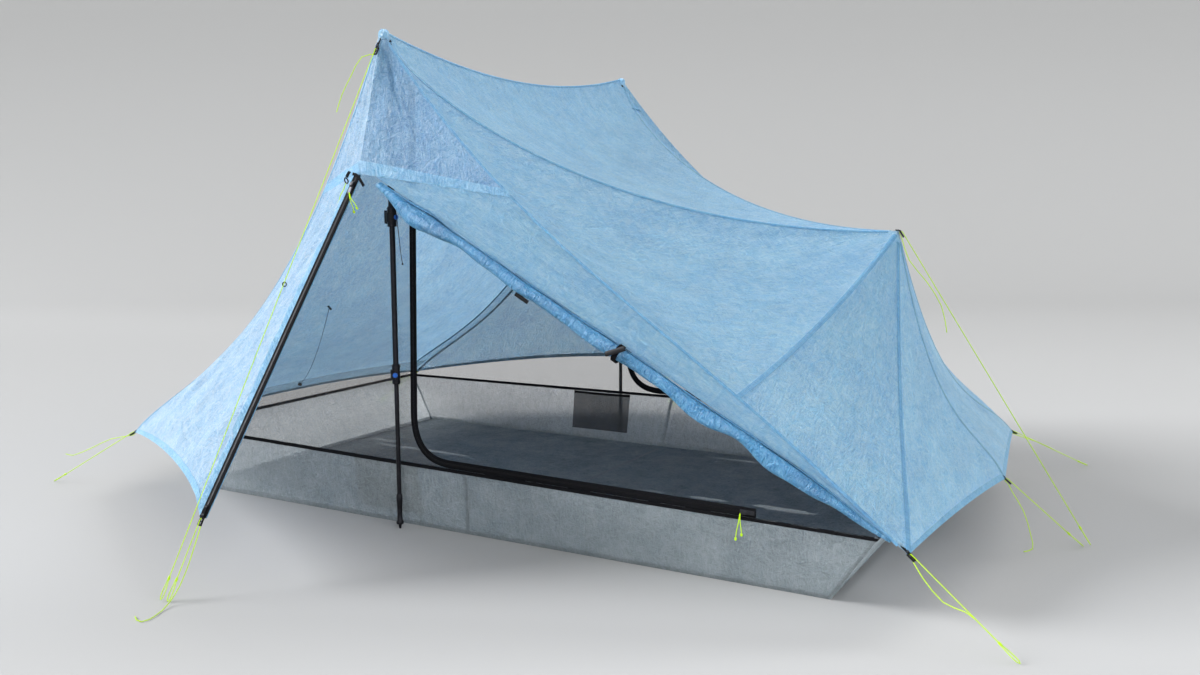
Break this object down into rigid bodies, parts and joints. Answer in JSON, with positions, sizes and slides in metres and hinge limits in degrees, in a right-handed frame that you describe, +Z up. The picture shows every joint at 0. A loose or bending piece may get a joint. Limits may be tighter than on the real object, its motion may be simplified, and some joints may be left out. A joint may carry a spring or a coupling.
{
  "type": "trekking pole tent",
  "caption": "Ridge tent for two pitched on two telescoping trekking poles: pale blue canopy, netting walls, floor tub, zipped doors, one rolled open, and staked guylines.",
  "frame": {"origin": "middle of the floor tub's underside, on the ground", "axes": "+X towards the foot end, +Y towards the back door, +Z up; the open door is on the -Y side"},
  "size_m": [3.046, 2.9378, 1.3652],
  "materials": {
    "canopy": "coated ripstop, satin",
    "tub": "coated floor cloth",
    "net": "fine insect netting",
    "zip": "coil zip tape",
    "tube": "black anodised tube",
    "foam": "foam grip",
    "lever": "moulded plastic",
    "slider": "painted die casting",
    "cord": "braided cord",
    "cup": "webbing patch"
  },
  "bodies": {
    "tent": {"beak_back": "canopy", "beak_front": "canopy", "canopy_end_back": "canopy", "canopy_end_front": "canopy", "canopy_head": "canopy", "canopy_roof": "canopy", "canopy_side_back_lower": "canopy", "canopy_side_back_upper": "canopy", "canopy_side_front_lower": "canopy", "canopy_side_front_upper": "canopy", "door_back_left": "canopy", "door_back_right": "canopy", "door_front_left": "canopy", "door_front_right": "canopy", "door_front_right_roll": "canopy", "guyline_door_back": "cord", "guyline_door_front": "cord", "guyline_end_centre": "cord", "guyline_end_peak": "cord", "guyline_foot_back": "cord", "guyline_foot_front": "cord", "guyline_head_back": "cord", "guyline_head_front": "cord", "guyline_peak_back": "cord", "guyline_peak_front": "cord", "mesh_back": "net", "mesh_foot": "net", "mesh_front": "net", "mesh_head": "net", "peak_cup_back": "cup", "peak_cup_front": "cup", "pocket_back": "net", "pocket_front": "net", "pole_back_grip": "foam", "pole_back_upper": "tube", "pole_front_grip": "foam", "pole_front_upper": "tube", "screen_back": "net", "screen_front_roll": "net", "tub_floor": "tub", "tub_wall_back": "tub", "tub_wall_foot": "tub", "tub_wall_front": "tub", "tub_wall_head": "tub", "zip_tape_door_back": "zip", "zip_tape_door_front": "zip", "zip_tape_screen_back": "zip", "zip_tape_screen_front": "zip"},
    "front_pole_middle": {"pole_front_middle": "tube"},
    "front_pole_lower": {"pole_front_lower": "tube"},
    "front_upper_lever": {"pole_front_upper_lever": "lever"},
    "front_lower_lever": {"pole_front_lower_lever": "lever"},
    "front_door_slider": {"zip_slider_door_front": "slider"},
    "front_screen_slider": {"zip_slider_screen_front": "slider"},
    "back_pole_middle": {"pole_back_middle": "tube"},
    "back_pole_lower": {"pole_back_lower": "tube"},
    "back_upper_lever": {"pole_back_upper_lever": "lever"},
    "back_lower_lever": {"pole_back_lower_lever": "lever"},
    "back_door_slider": {"zip_slider_door_back": "slider"},
    "back_screen_slider": {"zip_slider_screen_back": "slider"}
  },
  "joints": [
    {"name": "front_pole_middle_slide", "type": "slide", "parent": "tent", "child": "front_pole_middle", "axis": [0, 0, 1], "range_m": [0, 0.35]},
    {"name": "front_pole_lower_slide", "type": "slide", "parent": "front_pole_middle", "child": "front_pole_lower", "axis": [0, 0, 1], "range_m": [0, 0.3]},
    {"name": "front_upper_lever_hinge", "type": "hinge", "parent": "tent", "child": "front_upper_lever", "pos_m": [-0.18681, -0.6625, 0.871], "axis": [0, 0, -1], "range_deg": [0, 100]},
    {"name": "front_lower_lever_hinge", "type": "hinge", "parent": "front_pole_middle", "child": "front_lower_lever", "pos_m": [-0.18413, -0.65049, 0.439], "axis": [0, 0, -1], "range_deg": [0, 100]},
    {"name": "back_pole_middle_slide", "type": "slide", "parent": "tent", "child": "back_pole_middle", "axis": [0, 0, 1], "range_m": [0, 0.35]},
    {"name": "back_pole_lower_slide", "type": "slide", "parent": "back_pole_middle", "child": "back_pole_lower", "axis": [0, 0, 1], "range_m": [0, 0.3]},
    {"name": "back_upper_lever_hinge", "type": "hinge", "parent": "tent", "child": "back_upper_lever", "pos_m": [-0.18681, 0.6625, 0.871], "axis": [0, 0, 1], "range_deg": [0, 100]},
    {"name": "back_lower_lever_hinge", "type": "hinge", "parent": "back_pole_middle", "child": "back_lower_lever", "pos_m": [-0.18413, 0.65049, 0.439], "axis": [0, 0, 1], "range_deg": [0, 100]},
    {"name": "front_door_zip", "type": "slide", "parent": "tent", "child": "front_door_slider", "axis": [-0.0844, -0.5119, -0.8549], "range_m": [0, 0.85]},
    {"name": "front_screen_zip", "type": "slide", "parent": "tent", "child": "front_screen_slider", "axis": [-0.9991, 0.0429, 0], "range_m": [0, 0.84]},
    {"name": "back_door_zip", "type": "slide", "parent": "tent", "child": "back_door_slider", "axis": [0.0844, -0.5119, 0.8549], "range_m": [0, 0.85]},
    {"name": "back_screen_zip", "type": "slide", "parent": "tent", "child": "back_screen_slider", "axis": [0, 0.0275, -0.9996], "range_m": [0, 0.84]}
  ]
}
